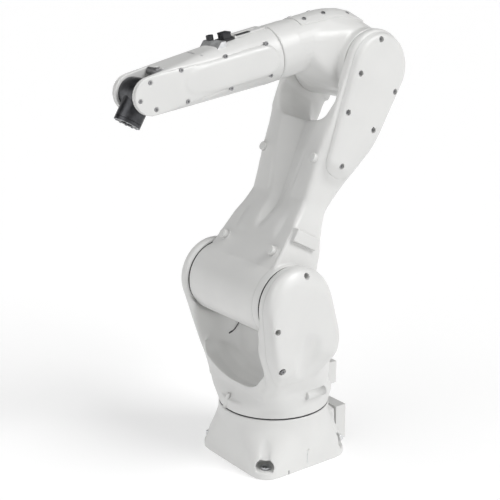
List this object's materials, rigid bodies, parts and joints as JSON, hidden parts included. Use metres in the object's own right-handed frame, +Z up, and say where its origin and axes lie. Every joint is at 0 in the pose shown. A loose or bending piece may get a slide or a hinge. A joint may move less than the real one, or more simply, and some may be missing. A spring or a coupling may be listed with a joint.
{
  "type": "desktop robot arm",
  "caption": "Six-axis articulated bench robot arm with cast links, belt-driven elbow and wrist, a square bolt-down foot and a small round tool flange.",
  "frame": {"origin": "centre of the foot's underside, on the first axis", "axes": "+Z up along the first axis, +X forwards over the front of the robot, +Y to the robot's left"},
  "size_m": [0.5431, 0.284, 0.8203],
  "materials": {
    "white_paint": "satin",
    "bare_steel": "brushed",
    "black_plastic": "matte",
    "black_anodised": "satin",
    "black_wrist": "satin",
    "motor_black": "satin",
    "dark_screws": "satin",
    "belt_rubber": "matte",
    "grey_metal": "brushed",
    "nickel_brass": "satin"
  },
  "bodies": {
    "base": {"base_casting": "white_paint", "base_bottom_plate": "grey_metal", "rear_connector_box": "white_paint", "rear_connector_panel": "white_paint", "rear_connectors": "black_plastic", "rear_air_fittings": "nickel_brass", "base_screws": "dark_screws", "j1_motor": "motor_black", "j1_reducer": "bare_steel"},
    "turret": {"turret_casting": "white_paint", "turret_left_cover": "white_paint", "turret_rear_cover": "white_paint", "turret_screws": "dark_screws", "cable_clip": "black_plastic", "j1_output_hub": "bare_steel", "j2_motor": "motor_black", "j2_output_hub": "bare_steel", "j2_trunnion": "bare_steel"},
    "upper_arm": {"upper_arm_casting": "white_paint", "belt_cover": "white_paint", "elbow_right_cap": "white_paint", "arm_screws": "dark_screws", "arm_plugs": "white_paint", "j2_reducer": "bare_steel", "j2_bearing": "bare_steel", "j3_motor": "motor_black", "j3_belt": "belt_rubber", "j3_output_hub": "bare_steel", "j3_trunnion": "bare_steel"},
    "j3_motor_pulley": {"j3_motor_pulley": "bare_steel"},
    "j3_input_pulley": {"j3_input_pulley": "bare_steel"},
    "elbow": {"elbow_housing": "white_paint", "elbow_top_cover": "white_paint", "elbow_screws": "dark_screws", "j3_reducer": "bare_steel", "j3_bearing": "bare_steel", "j4_motor": "motor_black", "j4_reducer": "bare_steel"},
    "forearm": {"forearm_casting": "white_paint", "forearm_left_cover": "white_paint", "forearm_right_cover": "white_paint", "forearm_screws": "dark_screws", "service_plate": "grey_metal", "connector_bracket": "grey_metal", "round_connector": "black_plastic", "valve_block": "black_anodised", "valve_block_lid": "grey_metal", "j4_output_hub": "bare_steel", "j5_motor": "motor_black", "j6_motor": "motor_black", "j5_belt": "belt_rubber", "j6_belt": "belt_rubber"},
    "j5_motor_pulley": {"j5_motor_pulley": "bare_steel"},
    "j5_input_pulley": {"j5_input_pulley": "bare_steel"},
    "j6_motor_pulley": {"j6_motor_pulley": "bare_steel"},
    "j6_input_pulley": {"j6_input_pulley": "bare_steel"},
    "wrist": {"wrist_body": "black_wrist", "j5_reducer": "bare_steel", "j6_reducer": "bare_steel"},
    "flange": {"tool_flange": "grey_metal"}
  },
  "joints": [
    {"name": "j1_base_turn", "type": "hinge", "parent": "base", "child": "turret", "pos_m": [0, 0, 0], "axis": [0, 0, 1], "range_deg": [-170, 170]},
    {"name": "j2_shoulder", "type": "hinge", "parent": "turret", "child": "upper_arm", "pos_m": [0.052, 0, 0.332], "axis": [0, 1, 0], "range_deg": [-60, 95]},
    {"name": "j3_elbow", "type": "hinge", "parent": "upper_arm", "child": "elbow", "pos_m": [-0.15897, 0, 0.72381], "axis": [0, 1, 0], "range_deg": [-200, 32]},
    {"name": "j3_input_pulley_spin", "type": "hinge", "parent": "upper_arm", "child": "j3_input_pulley", "pos_m": [-0.15897, 0, 0.72381], "axis": [0, 1, 0], "range_deg": [-2561, 16001]},
    {"name": "j3_motor_pulley_spin", "type": "hinge", "parent": "upper_arm", "child": "j3_motor_pulley", "pos_m": [-0.08027, 0, 0.57765], "axis": [0, 1, 0], "range_deg": [-4727.15, 29539.46]},
    {"name": "j4_forearm_roll", "type": "hinge", "parent": "elbow", "child": "forearm", "pos_m": [-0.14829, 0, 0.7798], "axis": [0.9823, 0, -0.1874], "range_deg": [-270, 270]},
    {"name": "j5_wrist_bend", "type": "hinge", "parent": "forearm", "child": "wrist", "pos_m": [0.27409, 0, 0.69923], "axis": [0, 1, 0], "range_deg": [-158.5, 61.5]},
    {"name": "j5_input_pulley_spin", "type": "hinge", "parent": "forearm", "child": "j5_input_pulley", "pos_m": [0.27409, 0, 0.69923], "axis": [0, 1, 0], "range_deg": [-3076, 7926]},
    {"name": "j5_motor_pulley_spin", "type": "hinge", "parent": "forearm", "child": "j5_motor_pulley", "pos_m": [0.11496, 0, 0.72959], "axis": [0, 1, 0], "range_deg": [-5382.25, 13869.75]},
    {"name": "j6_flange_turn", "type": "hinge", "parent": "wrist", "child": "flange", "pos_m": [0.27409, 0, 0.69923], "axis": [0.5105, 0, -0.8599], "range_deg": [-360, 360]},
    {"name": "j6_input_pulley_spin", "type": "hinge", "parent": "forearm", "child": "j6_input_pulley", "pos_m": [0.27409, 0, 0.69923], "axis": [0, 1, 0], "range_deg": [-18001, 18001]},
    {"name": "j6_motor_pulley_spin", "type": "hinge", "parent": "forearm", "child": "j6_motor_pulley", "pos_m": [0.07371, 0, 0.73745], "axis": [0, 1, 0], "range_deg": [-31501, 31501]}
  ],
  "couplings": [
    {"joint": "j3_input_pulley_spin", "follows": "j3_elbow", "ratio": -80},
    {"joint": "j3_motor_pulley_spin", "follows": "j3_elbow", "ratio": -147.69},
    {"joint": "j5_input_pulley_spin", "follows": "j5_wrist_bend", "ratio": -50},
    {"joint": "j5_motor_pulley_spin", "follows": "j5_wrist_bend", "ratio": -87.5},
    {"joint": "j6_input_pulley_spin", "follows": "j6_flange_turn", "ratio": -50},
    {"joint": "j6_motor_pulley_spin", "follows": "j6_flange_turn", "ratio": -87.5}
  ]
}
